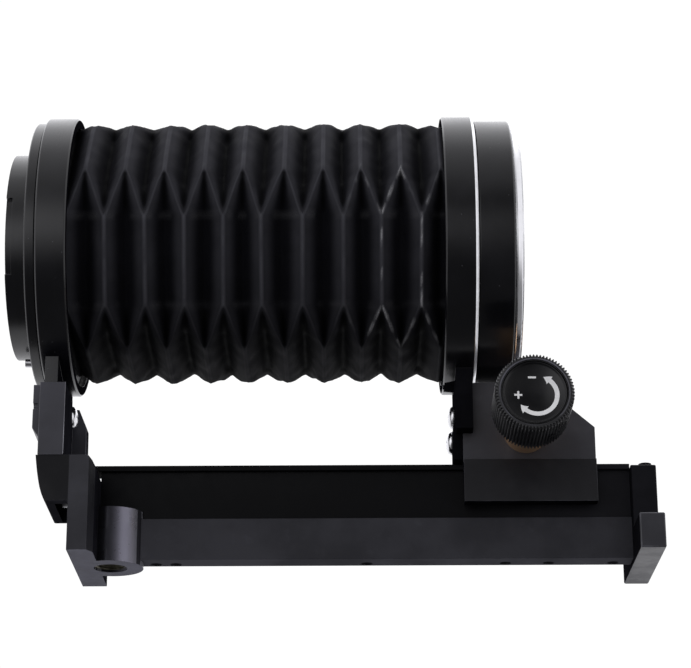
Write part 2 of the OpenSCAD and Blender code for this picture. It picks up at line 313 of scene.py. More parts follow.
def anodised(name, base, rough=0.28):
    """Turned and anodised metal: fine rings of the tool, small bright specks."""
    m = Nodes(name)
    out = m.xyz()
    lines = m.noise(1.0, 2, 0.6, stretch=(9000, 12, 12))
    big = m.noise(70, 3, 0.6, seed=5.0)
    specks = m.voronoi(420, seed=2.0)
    colour = m.mix(m.ramp(big, 0.35, 0.65), tuple(c * 0.75 for c in base), tuple(c * 1.25 for c in base))
    colour = m.mix(m.ramp(specks, 0.03, 0.06, 0.5, 0.0), colour, (0.12, 0.12, 0.13))
    r = m.math("ADD", m.ramp(lines, 0.3, 0.7, rough - 0.015, rough + 0.025), m.ramp(big, 0.3, 0.7, -0.03, 0.05))
    return m.set(Base_Color=colour, Roughness=r, Normal=m.bump(lines, 0.0000015), Specular_IOR_Level=0.5)


def metal(name, base, rough=0.2, lines=(1, 1, 1), dirt=(0.2, 0.18, 0.16), wear=0.12):
    m = Nodes(name)
    fine = m.noise(1800, 2, 0.6, stretch=lines)
    big = m.noise(240, 3, 0.6, seed=4.0)
    colour = m.mix(m.ramp(big, 0.4, 0.75, 0, wear), base, dirt)
    r = m.math("ADD", m.ramp(fine, 0.3, 0.7, rough - 0.04, rough + 0.06), m.ramp(big, 0.3, 0.7, -0.03, 0.06))
    return m.set(Base_Color=colour, Roughness=r, Metallic=1.0, Normal=m.bump(fine, 0.000003))


MAT = {
    # the rail's web above the lower flange is painted dark as shade in its recess, the top lip darker still, the web
    # lighter again from 70 mm towards the far end
    "rail_black": moulded("rail_black", (0.036, 0.036, 0.042), 0.42, mottle=0.2, spec=0.08,
                          bands=((2, 10.55, (0.0026, 0.0026, 0.0032), 0.05), (2, 21.45, (0.0022, 0.0022, 0.0028), 0.05)),
                          far_end=(70, 112, 4.5, 10.5)),
    "moulded_black": moulded("moulded_black", (0.026, 0.026, 0.030), 0.42),
    "anodised_black": anodised("anodised_black", (0.0036, 0.0036, 0.0050), 0.2),
    "chrome": metal("chrome", (0.86, 0.86, 0.88), 0.16, lines=(6, 0.4, 0.4)),
    "chrome_screw": metal("chrome_screw", (0.82, 0.82, 0.84), 0.18),
    "steel": metal("steel", (0.55, 0.55, 0.57), 0.3),
    "brass": metal("brass", (1.0, 0.66, 0.40), 0.34, lines=(0.4, 6, 0.4), dirt=(0.45, 0.25, 0.12), wear=0.3),
    "liner": moulded("liner", (0.62, 0.62, 0.6), 0.45, mottle=0.06),
}


next(n for n in MAT["brass"].node_tree.nodes if n.type == "BSDF_PRINCIPLED").inputs["Metallic"].default_value = 0.88


def cloth_material():
    """Rubberised cloth: painted highlight along the ridges, painted shade down the valleys, painted light and shade
    round the tube, rubbed wear with painted glints; shinier along the ridges.
    """
    m = Nodes("bellows_cloth", "UV")
    fold = m.attribute("fold")
    wear_and_glint = m.attribute("wear_and_glint")
    grain = m.noise(520, 3, 0.6, stretch=(1, 3.2, 1))
    cloud = m.noise(26, 4, 0.6, seed=2.0)
    weave = m.noise(1500, 2, 0.5, stretch=(3.0, 1, 1), seed=7.0)
    # painted highlight: a lighter line along each ridge
    ridge = m.ramp(fold, 0.16, 0.0)
    ridge = m.math("MULTIPLY", ridge, m.ramp(cloud, 0.30, 0.62, 0.5, 1.0))
    # painted shade: dark in the valleys, lighter towards the ridges
    base = m.mix(m.ramp(fold, 0.74, 0.22), (0.0070, 0.0070, 0.0088), (0.0290, 0.0290, 0.0340))
    base = m.mix(m.ramp(cloud, 0.35, 0.7, 0.0, 0.25), base, (0.0040, 0.0040, 0.0048))
    base = m.mix(ridge, base, (0.070, 0.070, 0.080))
    base = m.mix(m.ramp(grain, 0.50, 0.75, 0.0, 0.45), base, (0.020, 0.020, 0.024))
    # painted shade at the very bottom of the valleys
    base = m.mix(m.ramp(fold, 0.80, 0.97), base, (0.0060, 0.0060, 0.0078))
    # painted light and shade round the tube and painted shade in the corner creases, from a vertex attribute
    base = tinted(m, base, m.attribute("painted_light"))
    # rubbed wear with painted glints: pale grey streaks
    base = m.mix(m.math("MULTIPLY", wear_and_glint, m.ramp(grain, 0.36, 0.56, 0.15, 1.0)), base, (0.62, 0.62, 0.64))
    rough = m.math("ADD", m.ramp(ridge, 0, 1, 0.62, 0.46), m.ramp(grain, 0.3, 0.7, -0.06, 0.08))
    normal = m.bump(weave, 0.000012)
    normal = m.bump(grain, 0.00003, under=normal)
    m.bsdf.inputs["Sheen Roughness"].default_value = 0.35
    m.bsdf.inputs["Sheen Tint"].default_value = (0.86, 0.86, 1.0, 1.0)
    return m.set(Base_Color=base, Roughness=rough, Normal=normal, Sheen_Weight=0.0, Specular_IOR_Level=0.018)


def knob_materials():
    m = Nodes("knob_black")
    fine = m.noise(2400, 3, 0.6)
    big = m.noise(180, 3, 0.6, seed=1.0)
    colour = m.mix(m.ramp(big, 0.35, 0.65), (0.0035, 0.0035, 0.0045), (0.010, 0.010, 0.012))
    knob = m.set(Base_Color=colour, Roughness=m.ramp(big, 0.3, 0.7, 0.26, 0.38), Normal=m.bump(fine, 0.00001))
    m = Nodes("knob_gloss")
    fine = m.noise(1500, 2, 0.6)
    big = m.noise(120, 3, 0.6, seed=6.0)
    colour = m.mix(m.ramp(big, 0.35, 0.65), (0.0016, 0.0016, 0.0022), (0.0045, 0.0045, 0.0055))
    gloss = m.set(Base_Color=colour, Roughness=m.ramp(big, 0.3, 0.7, 0.12, 0.24), Normal=m.bump(big, 0.00004, under=m.bump(fine, 0.000002)), Specular_IOR_Level=0.32)
    m = Nodes("knob_print")
    fine = m.noise(2200, 3, 0.6)
    colour = m.mix(m.ramp(fine, 0.4, 0.75, 0, 0.4), (0.9, 0.9, 0.9), (0.72, 0.72, 0.73))
    paint = m.set(Base_Color=colour, Roughness=m.ramp(fine, 0.3, 0.7, 0.4, 0.55))
    return knob, gloss, paint


MAT["bellows_cloth"] = cloth_material()
MAT["knob_black"], MAT["knob_gloss"], KNOB_PRINT = knob_materials()

OWN = {
    "rear_end_bracket": bracket_material(),
    "rear_standard": moulded("standard_black", (0.037, 0.037, 0.046), 0.42, mottle=0.2, spec=0.3, bands=((2, 32.0, (0.054, 0.054, 0.068), 5.0),)),
    "front_end_bracket": moulded("front_bracket_black", (0.034, 0.034, 0.041), 0.42, mottle=0.2, spec=0.3, bands=((2, 15.0, (0.010, 0.010, 0.013), 6.0),)),
    "carriage": moulded("carriage_black", (0.011, 0.011, 0.0135), 0.42, mottle=0.2, spec=0.25, bands=((2, 23.0, (0.048, 0.048, 0.056), 0.02),)),
    "clamp_jaw": moulded("jaw_black", (0.011, 0.011, 0.0135), 0.42, mottle=0.2, spec=0.25, bands=((2, 23.0, (0.048, 0.048, 0.056), 0.02),)),
}
for part in frame["record"]["subparts"]:
    o = NODES[part["node"]]
    o.data.materials.clear()
    o.data.materials.append(OWN.get(part["node"], MAT[part["material_slot"]]))


# ---------------------------------------------------------------- moulded and turned parts: the CAD shape with its edges broken

def eased(node, width, segments=2, angle=32, min_len=0.0, shade=38, keep=None):
    """A copy of a CAD node whose edges are rounded by a small bevel, standing for the node."""
    src = NODES[node]
    mesh = src.data.copy()
    mesh.name = node + "_eased"
    bm = bmesh.new()
    bm.from_mesh(mesh)
    bmesh.ops.remove_doubles(bm, verts=bm.verts, dist=2e-6)
    bmesh.ops.dissolve_limit(bm, angle_limit=math.radians(0.6), verts=bm.verts, edges=bm.edges, delimit=set())
    sharp = [e for e in bm.edges if len(e.link_faces) == 2 and e.calc_face_angle(0) > math.radians(angle)
             and e.calc_length() * 1000 >= min_len and not (keep and keep([v.co * 1000 for v in e.verts]))]
    bmesh.ops.bevel(bm, geom=sharp, offset=width * MM, offset_type="OFFSET", segments=segments, profile=0.5,
                    affect="EDGES", clamp_overlap=True, harden_normals=False)
    bmesh.ops.dissolve_degenerate(bm, dist=2e-6, edges=bm.edges[:])
    bm.to_mesh(mesh)
    bm.free()
    mesh.materials.clear()
    mesh.materials.append(src.data.materials[0])
    if mesh.has_custom_normals:
        mesh.free_normals_split() if hasattr(mesh, "free_normals_split") else None
    obj = bpy.data.objects.new(node + "_part", mesh)
    scene.collection.objects.link(obj)
    mesh.shade_smooth()
    mesh.set_sharp_from_angle(angle=math.radians(shade))
    w = obj.modifiers.new("weights", "WEIGHTED_NORMAL")
    w.keep_sharp = True
    w.weight = 100
    body = src["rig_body"]
    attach(obj, body)
    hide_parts(node)
    return obj


def paint(obj, mat, test):
    """A second material on the faces that pass a test of centre (millimetres) and normal."""
    obj.data.materials.append(mat)
    index = len(obj.data.materials) - 1
    for face in obj.data.polygons:
        if test(face.center * 1000, face.normal):
            face.material_index = index


PARTS = {}
for node, width in (("rail", 0.16), ("rear_end_bracket", 0.22), ("front_end_bracket", 0.35), ("rear_standard", 0.3),
                    ("rear_ring", 0.3), ("camera_bayonet", 0.18), ("front_ring", 0.22), ("front_mount_body", 0.25),
                    ("lens_bayonet", 0.25), ("carriage", 0.32), ("clamp_jaw", 0.3), ("release_slider", 0.15),
                    ("brass_bush", 0.15), ("lens_bayonet_screws", 0.08), ("rear_tab_screw", 0.1), ("front_tab_screws", 0.1),
                    ("rear_bracket_screws", 0.1), ("front_bracket_screws", 0.12)):
    PARTS[node] = eased(node, width, angle=26 if "screw" in node else 32, min_len=0.0 if "screw" in node else 1.2,
                        keep=(lambda ends: all(v.x > 115.5 for v in ends) or all(v.x < -2.4 for v in ends)) if node == "rail" else
                        (lambda ends: all(v.x < 115.7 and v.z > 8 for v in ends)) if node == "front_end_bracket" else None)

# sides that were left as moulded or blasted, without gloss
CLOTH_GLUE = moulded("ring_face_matt", (0.006, 0.006, 0.0075), 0.9, mottle=0.3, spec=0.0)
paint(PARTS["rear_ring"], CLOTH_GLUE, lambda c, n: n.x > 0.9 and c.x > -12.1)
paint(PARTS["front_ring"], CLOTH_GLUE, lambda c, n: (n.x < -0.9 and c.x < 77.4 and c.z > 41) or c.z < 42)
paint(PARTS["front_ring"], MAT["chrome"], lambda c, n: c.x > 81.02 and n.x > 0.25 and n.x < 0.97 and c.z > 41
      and math.hypot(c.y, c.z - AXIS_Z) > 31.3)
paint(PARTS["rear_standard"], moulded("standard_matt", (0.014, 0.014, 0.018), 0.9, mottle=0.3, spec=0.0), lambda c, n: n.x > 0.8)
paint(PARTS["rear_end_bracket"], moulded("bracket_matt", (0.011, 0.011, 0.014), 0.9, mottle=0.3, spec=0.0),
      lambda c, n: n.x > 0.95 and c.x < -2.4)
paint(PARTS["rear_end_bracket"], moulded("bracket_bevel", (0.0165, 0.0165, 0.020), 0.6, mottle=0.3, spec=0.1),
      lambda c, n: 0.85 < n.x < 0.94 and n.y < -0.35 and abs(n.z) < 0.1)
# painted light on the inner faces of the hollow under the block
paint(PARTS["rear_end_bracket"], moulded("bracket_hollow", (0.042, 0.042, 0.052), 0.9, mottle=0.4, spec=0.0),
      lambda c, n: n.y < -0.5 and -11.4 < c.x < -7.9 and c.y > -13 and c.z < 17)
paint(PARTS["rear_end_bracket"], moulded("bracket_under", (0.030, 0.030, 0.036), 0.9, mottle=0.3, spec=0.0),
      lambda c, n: n.z < -0.6 and c.x < -8.0 and c.z > 9)
paint(PARTS["front_end_bracket"], moulded("front_bracket_matt", (0.008, 0.008, 0.010), 0.9, mottle=0.3, spec=0.0), lambda c, n: n.x < -0.8)
paint(PARTS["front_end_bracket"], moulded("upright_matt", (0.011, 0.011, 0.014), 0.6, mottle=0.3, spec=0.05),
      lambda c, n: c.z > 8.2 and n.y < -0.5)
paint(PARTS["rail"], moulded("rail_under", (0.075, 0.075, 0.085), 0.9, mottle=0.2, spec=0.0), lambda c, n: n.z < -0.8 and c.z < 2)
paint(PARTS["carriage"], moulded("carriage_matt", (0.012, 0.012, 0.015), 0.9, mottle=0.3, spec=0.0), lambda c, n: n.x < -0.8)

paint(PARTS["carriage"], moulded("carriage_under", (0.006, 0.006, 0.008), 0.9, mottle=0.3, spec=0.0), lambda c, n: n.z < -0.8 and c.z < 13.6)
paint(PARTS["rear_end_bracket"], moulded("boss_under", (0.125, 0.125, 0.155), 0.6, mottle=0.3, spec=0.04),
      lambda c, n: n.z < -0.5 and c.z < 0.6 and c.x > -2.55)

# broken edges facing the front, painted lighter as a highlight
EDGE = moulded("edge_painted_highlight", (0.085, 0.085, 0.10), 0.4, mottle=0.6, spec=0.4)
EDGE_BRIGHT = moulded("edge_painted_highlight_bright", (0.30, 0.30, 0.34), 0.35, mottle=0.4, spec=0.5)
for node in ("rear_end_bracket", "front_end_bracket", "rear_standard", "carriage"):
    paint(PARTS[node], EDGE, lambda c, n, node=node: max(abs(n.x), abs(n.y), abs(n.z)) < 0.96 and n.y < -0.12
          and not (node == "rear_end_bracket" and -2.4 < c.x and c.z < 12.6)
          and not (node == "rear_end_bracket" and 0.85 < n.x < 0.94 and n.y < -0.35 and abs(n.z) < 0.1)
          and not (node == "front_end_bracket" and c.z > 8.2))
# a brighter painted highlight along the front right corner of the standard
paint(PARTS["rear_standard"], EDGE_BRIGHT, lambda c, n: 0.2 < n.x < 0.96 and n.y < -0.25 and c.y < -15)

# the chrome ring's rim narrows towards its face
for v in PARTS["lens_bayonet"].data.vertices:
    y, z = v.co.y * 1000, v.co.z * 1000 - AXIS_Z
    r = math.hypot(y, z)
    if r > 29.9:
        k = max(r - max(0.0, v.co.x * 1000 - 89.95) * 0.40, 29.8) / r
        v.co.y, v.co.z = y * k / 1000, (z * k + AXIS_Z) / 1000


def bush_thread():
    """The threaded insert: 1/4 inch thread, 1.27 mm pitch, cut as a real helix."""
    cols, pitch, z0, z1 = 96, 1.27, 0.55, 10.95
    rows = int((z1 - z0) / pitch * 12)
    verts = []
    for i in range(rows + 1):
        z = z0 + (z1 - z0) * i / rows
        fade = min(1.0, (z - z0) / 0.5)
        for k in range(cols):
            t = 2 * math.pi * k / cols
            w = (z / pitch - k / cols) % 1.0
            h = abs(2 * w - 1)
            h = min(1, max(0, (h - 0.1) / 0.8))
            r = 3.15 - 0.5 * h * fade
            verts.append((r * math.cos(t), r * math.sin(t), z))
    first = len(verts)
    for r, z in ((3.70, z1), (3.70, z0)):
        for k in range(cols):
            t = 2 * math.pi * k / cols
            verts.append((r * math.cos(t), r * math.sin(t), z))
    faces = grid_faces(rows + 1, cols, wrap_cols=True)
    top = rows * cols
    for k in range(cols):
        j = (k + 1) % cols
        faces.append((top + k, top + j, first + j, first + k))
        faces.append((first + k, first + j, first + cols + j, first + cols + k))
        faces.append((first + cols + k, first + cols + j, j, k))
    m = Nodes("bush_olive")
    big = m.noise(900, 3, 0.6)
    mat = m.set(Base_Color=m.mix(m.ramp(big, 0.35, 0.7), (0.050, 0.047, 0.030), (0.11, 0.10, 0.07)), Metallic=0.7,
                Roughness=m.ramp(big, 0.3, 0.7, 0.34, 0.5))
    obj = new_object("bush_thread", verts, faces, mat, NODES["tripod_bush"]["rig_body"])
    recalc(obj)
    sharpen(obj, 50)
    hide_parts("tripod_bush")
    return obj


bush_thread()


# ---------------------------------------------------------------- bellows

# the six sides: each end in degrees round the axis from the viewer's side upwards, and its distance from the axis;
# the V-shaped corners lie between them
SIDES = [((-42.6, 29.3), (-3.4, 29.5)), ((20.0, 29.7), (63.0, 30.7)), ((86.0, 30.7), (125.0, 30.2)),
         ((148.0, 29.8), (166.0, 29.6)), ((189.0, 29.5), (227.0, 29.3)), ((250.0, 29.2), (294.0, 29.2))]
DEPTH = 4.3
MID_RIDGES = [-0.92, 8.03, 16.83, 25.29, 33.84, 42.85, 51.89, 60.43, 69.22]
SIDE_RIDGES = [-5.60, 3.40, 12.15, 20.85, 29.65, 38.75, 47.40, 55.85, 64.70, 73.75]
X_A, X_B = -10.45, 75.45


def ridge_curve(points, first):
    """Smooth map from fold number to place along the axis, through the given ridges."""
    k = first + np.arange(len(points))
    step = (points[-1] - points[0]) / (len(points) - 1)
    k = np.concatenate([[k[0] - 2, k[0] - 1], k, [k[-1] + 1, k[-1] + 2]])
    v = np.concatenate([[points[0] - 2 * step, points[0] - step], points, [points[-1] + step, points[-1] + 2 * step]])

    def f(q):
        q = np.asarray(q, float)
        i = np.clip(np.searchsorted(k, q) - 1, 1, len(k) - 3)
        t = q - k[i]
        p0, p1, p2, p3 = v[i - 1], v[i], v[i + 1], v[i + 2]
        return p1 + 0.5 * t * (p2 - p0 + t * (2 * p0 - 5 * p1 + 4 * p2 - p3 + t * (3 * (p1 - p2) + p3 - p0)))
    return f


def fold_height(u, s):
    """0 on a ridge, 1 in a valley. u counts folds along the axis, s goes from 0 on one side to 1 on the next."""
    u = np.abs(u - np.round(u))
    return 2 * np.abs(u - s / 2)


def smooth_noise(p, seed, scale):
    """Cheap smooth noise of 3-D points, from a few sines."""
    rng = np.random.default_rng(seed)
    out = np.zeros(len(p))
    for _ in range(14):
        d = rng.normal(size=3)
        d /= np.linalg.norm(d)
        f = (0.5 + rng.random()) * 2 * math.pi / scale
        out += np.sin(p @ d * f + rng.random() * 6.283)
    return out / 4.0


def build_bellows():
    # outline: rows round the tube, each with its point, inward direction, s and a corner mask
    rows = []
    for k in range(6):
        (d0, r0), (d1, r1) = SIDES[k]
        e0, re = SIDES[(k + 1) % 6][0]
        e0 += 360 if k == 5 else 0
        s0 = float(k % 2)
        on = lambda deg, r: np.array([-math.cos(math.radians(deg)), math.sin(math.radians(deg))]) * r
        a, b, c = on(d0, r0), on(d1, r1), on(e0, re)
        n0 = on((d0 + d1) / 2, 1.0)
        n1 = on((SIDES[(k + 1) % 6][0][0] + SIDES[(k + 1) % 6][1][0]) / 2, 1.0)
        nf = 16
        for i in range(nf):
            t = i / nf
            rows.append((a + (b - a) * t + n0 * 0.35 * math.sin(math.pi * t), n0, s0, 0.0, 1.0))
        nv = 11
        for i in range(nv):
            t = i / nv
            n = n0 * (1 - t) + n1 * t
            n = n / np.linalg.norm(n)
            s = t if k % 2 == 0 else 1 - t
            p = b + (c - b) * t + n * 0.25 * math.sin(math.pi * t)
            rows.append((p, n, s, math.sin(math.pi * t), 1.0 - 0.5 * math.sin(math.pi * t) if k == 1 else 1.0))
    P = np.array([r[0] for r in rows])
    N = np.array([r[1] for r in rows])
    S = np.array([r[2] for r in rows])
    C = np.array([r[3] for r in rows])
    FLAT = np.array([r[4] for r in rows])
    per = np.concatenate([[0], np.cumsum(np.linalg.norm(np.diff(np.vstack([P, P[:1]]), axis=0), axis=1))])
    R = len(rows)
    mid, side = ridge_curve(MID_RIDGES, 0), ridge_curve(SIDE_RIDGES, -0.5)
    q_lo = np.interp(X_A, mid(np.linspace(-2, 10, 4000)), np.linspace(-2, 10, 4000))
    q_hi = np.interp(X_B, mid(np.linspace(-2, 10, 4000)), np.linspace(-2, 10, 4000))
    k0, k1 = math.ceil(q_lo * 24 + 0.5), math.floor(q_hi * 24 - 0.5)
    q = np.concatenate([[q_lo], np.arange(k0, k1 + 1) / 24.0, [q_hi]])
    M = len(q)
    straight = mid(q)
    edge = np.clip(np.minimum(q - q_lo, q_hi - q) / 0.7, 0, 1)
    edge = edge * edge * (3 - 2 * edge)
    X = straight[None, :] + (S[:, None]) * (side(q) - straight)[None, :] * edge[None, :]
    # the hidden sides are a little out of step as well
    turn = np.arange(R) / R * 2 * math.pi
    rng = np.random.default_rng(5)
    wob = np.zeros((R, M))
    for _ in range(5):
        wob += np.sin(turn[:, None] * rng.integers(1, 4) + q[None, :] * (0.7 + rng.random()) * 2.1 + rng.random() * 6.28) * 0.10
    X = X + wob * edge[None, :] * (0.4 + 0.6 * (np.cos(turn[:, None] - 0.3) < 0))
    # height of the fold, softened
    U = np.repeat(q[None, :], R, 0)
    SS = np.repeat(S[:, None], M, 1)
    H = np.zeros((R, M))
    Hw = np.zeros((R, M))
    for d, w in ((-2, 0.06), (-1, 0.24), (0, 0.40), (1, 0.24), (2, 0.06)):
        H += w * fold_height(U + d * 0.018, SS)
    for d, w in ((-2, 0.15), (-1, 0.23), (0, 0.24), (1, 0.23), (2, 0.15)):
        Hw += w * fold_height(U + d * 0.045, SS)
    blend = np.clip((H - 0.15) / 0.5, 0, 1)
    HH = H * (1 - blend) + Hw * blend
    # the folds are a little deeper on one flank than a plain zigzag: bulge the panels
    depth = DEPTH * (0.30 * HH + 0.70 * np.clip(HH, 0, 1) ** 1.8) - 0.16 * np.clip(1 - H / 0.07, 0, 1) ** 1.5
    depth = depth * FLAT[:, None]
    # lobes at the corners stand proud, as cloth does between two ridges
    lift = C[:, None] * 0.25 * (1 - HH)
    Y = P[:, 0][:, None] + N[:, 0][:, None] * (lift - depth)
    Z = P[:, 1][:, None] + N[:, 1][:, None] * (lift - depth)
    pts = np.stack([X, Y, Z], -1).reshape(-1, 3)
    wrinkle = smooth_noise(pts, 11, 7.0) * 0.15 + smooth_noise(pts, 12, 2.6) * 0.06
    wrinkle *= np.repeat(edge[None, :], R, 0).reshape(-1)
    NN = np.stack([np.zeros((R, M)), np.repeat(N[:, 0][:, None], M, 1), np.repeat(N[:, 1][:, None], M, 1)], -1).reshape(-1, 3)
    outer = pts + NN * wrinkle[:, None]
    limit = 29.6 + 1.4 * np.repeat(edge[None, :], R, 0).reshape(-1)
    rad = np.linalg.norm(outer[:, 1:], axis=1)
    k = np.minimum(1, limit / rad)
    outer[:, 1:] *= k[:, None]
    inner = outer - NN * 0.7
    outer[:, 2] += AXIS_Z
    inner[:, 2] += AXIS_Z
    O = outer.reshape(R, M, 3)
    I = inner.reshape(R, M, 3)
    # normals of the whole tube, so that the pieces meet without a seam
    def normals(G, sign):
        du = np.roll(G, -1, 0) - np.roll(G, 1, 0)
        dx = np.empty_like(G)
        dx[:, 1:-1] = G[:, 2:] - G[:, :-2]
        dx[:, 0] = G[:, 1] - G[:, 0]
        dx[:, -1] = G[:, -1] - G[:, -2]
        n = np.cross(du, dx) * sign
        return n / np.maximum(np.linalg.norm(n, axis=2, keepdims=True), 1e-9)
    test = np.cross(O[1, 5] - O[0, 5], O[0, 6] - O[0, 5]) @ np.array([0, N[0, 0], N[0, 1]])
    sign = 1.0 if test > 0 else -1.0
    ON, IN = normals(O, sign), normals(I, -sign)
    # rubbed wear with painted glints: pale streaks on the ridges from 52 mm on, on the side facing front
    wear_and_glint_along = np.clip((X - 52) / 8, 0, 1) * np.clip((74 - X) / 3, 0, 1)
    wn = smooth_noise(pts, 21, 5.0).reshape(R, M)
    facing = np.clip((np.cos(turn - math.radians(14)) - 0.55) / 0.3, 0, 1)[:, None]
    wear_and_glint = np.clip(1 - HH / 0.075, 0, 1) * wear_and_glint_along * np.clip(wn * 1.2 + 0.05, 0, 1) * facing
    # thin painted highlight lines along both edges of the front side
    corner_glint_lines = np.zeros(R)
    corner_glint_lines[[16, 17, 0, 161]] = (0.035, 0.02, 0.025, 0.012)
    wear_and_glint = np.maximum(wear_and_glint, corner_glint_lines[:, None] * np.clip(0.5 + wn, 0, 1))
    angle = np.degrees(np.arctan2(P[:, 1], -P[:, 0]))
    # painted light and shade round the tube: darker underneath, lighter on the upper front
    painted_light = np.interp(angle, [-180, -110, -75, -58, -42, -20, 10, 35, 70, 180], [0.3, 0.3, 0.4, 0.5, 0.8, 1.0, 1.05, 1.2, 1.2, 0.9])
    # one closed tube, then cut by planes into pieces: eased in at both ends, even in between
    n_out = R * M
    faces = []
    for r in range(R):
        r2 = (r + 1) % R
        for j in range(M - 1):
            p, pn, pd, pnd = r * M + j, r2 * M + j, r * M + j + 1, r2 * M + j + 1
            if abs(HH[r, j] - HH[r2, j + 1]) <= abs(HH[r2, j] - HH[r, j + 1]):
                t = [(p, pn, pnd), (p, pnd, pd)]
            else:
                t = [(p, pn, pd), (pn, pnd, pd)]
            faces += t if sign > 0 else [f[::-1] for f in t]
            f = (n_out + p, n_out + pd, n_out + pnd, n_out + pn)
            faces.append(f if sign > 0 else f[::-1])
        f, g = (r * M, n_out + r * M, n_out + r2 * M, r2 * M), (r * M + M - 1, r2 * M + M - 1, n_out + r2 * M + M - 1, n_out + r * M + M - 1)
        faces += [f, g] if sign > 0 else [f[::-1], g[::-1]]
    allv = np.vstack([O.reshape(-1, 3), I.reshape(-1, 3)])
    bm = bmesh.new()
    lay_n = bm.verts.layers.float_vector.new("full_normal")
    lay_f = bm.verts.layers.float.new("fold")
    lay_w = bm.verts.layers.float.new("wear_and_glint")
    lay_d = bm.verts.layers.float.new("painted_light")
    lay_uv = bm.loops.layers.uv.new("UVMap")
    full_n = np.vstack([ON.reshape(-1, 3), IN.reshape(-1, 3)])
    near = np.abs(q - np.round(q))[None, :] < S[:, None] / 2
    local = np.where(near, S[:, None], 1 - S[:, None])
    tone = HH / np.maximum(local, 0.30)
    fold_v = np.concatenate([np.clip(tone, 0, 1).reshape(-1), np.ones(n_out)])
    wear_and_glint_per_vertex = np.concatenate([wear_and_glint.reshape(-1), np.zeros(n_out)])
    # painted shade: dark lines along the bottoms of the corner folds
    off = np.abs(q - np.round(q))[None, :]
    crease = np.exp(-(np.where(off <= S[:, None] / 2 + 1e-6, off, 0.5 - off) / 0.075) ** 2) * np.minimum(1, S[:, None] * 3)
    painted_light_per_vertex = np.concatenate([(painted_light[:, None] * (1 - 0.85 * crease)).reshape(-1)] * 2)
    around = np.concatenate([np.repeat(per[:-1, None], M, 1).reshape(-1)] * 2)
    bverts = []
    for i in range(2 * n_out):
        v = bm.verts.new(allv[i] * MM)
        v[lay_n] = full_n[i]
        v[lay_f] = fold_v[i]
        v[lay_w] = wear_and_glint_per_vertex[i]
        v[lay_d] = painted_light_per_vertex[i]
        bverts.append(v)
    bm.verts.index_update()
    for f in faces:
        bf = bm.faces.new([bverts[i] for i in f])
        bf.smooth = True
        us = [around[i] for i in f]
        wrap = max(us) - min(us) > per[-1] / 2
        for loop, i, u in zip(bf.loops, f, us):
            loop[lay_uv].uv = ((u + per[-1] if wrap and u < per[-1] / 2 else u) / 200.0, allv[i][0] / 200.0 + 0.1)
    slide_a, slide_b = X_A + 1.6, X_B - 1.6
    ease = 8.0
    c = 1.0 / (slide_b - slide_a - ease)

    count = 8
    cuts = [slide_a] + [slide_a + ease + (slide_b - slide_a - 2 * ease) * i / count for i in range(count + 1)] + [slide_b]
    pieces = []
    for i in range(len(cuts) - 1):
        part = bm.copy()
        for side, x in ((-1, cuts[i]), (1, cuts[i + 1])):
            if (side < 0 and i == 0) or (side > 0 and i == len(cuts) - 2):
                continue
            geom = part.verts[:] + part.edges[:] + part.faces[:]
            bmesh.ops.bisect_plane(part, geom=geom, dist=1e-8, plane_co=(x * MM, 0, 0), plane_no=(side, 0, 0), clear_outer=True, clear_inner=False)
            rim = [e for e in part.edges if len(e.link_faces) == 1 and all(abs(v.co.x - x * MM) < 1e-6 for v in e.verts)]
            bmesh.ops.bridge_loops(part, edges=rim)
        bmesh.ops.recalc_face_normals(part, faces=part.faces)
        me = bpy.data.meshes.new(f"bellows_cloth_{i:02d}")
        part.to_mesh(me)
        part.free()
        me.materials.append(MAT["bellows_cloth"])
        me.shade_smooth()
        kept = np.zeros(len(me.vertices) * 3, np.float32)
        me.attributes["full_normal"].data.foreach_get("vector", kept)
        kept = kept.reshape(-1, 3)
        kept /= np.maximum(np.linalg.norm(kept, axis=1, keepdims=True), 1e-9)
        me.attributes.remove(me.attributes["full_normal"])
        me.normals_split_custom_set_from_vertices([tuple(v) for v in kept])
        obj = bpy.data.objects.new(f"bellows_cloth_{i:02d}", me)
        scene.collection.objects.link(obj)
        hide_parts("bellows")
        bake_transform(obj)
        pieces.append(obj)
    bm.free()
    return pieces


BELLOWS = build_bellows()


# ---------------------------------------------------------------- knob

KX, KZ = 92.4, 29.3
KY0, KY1 = -34.8, -20.8   # front and back


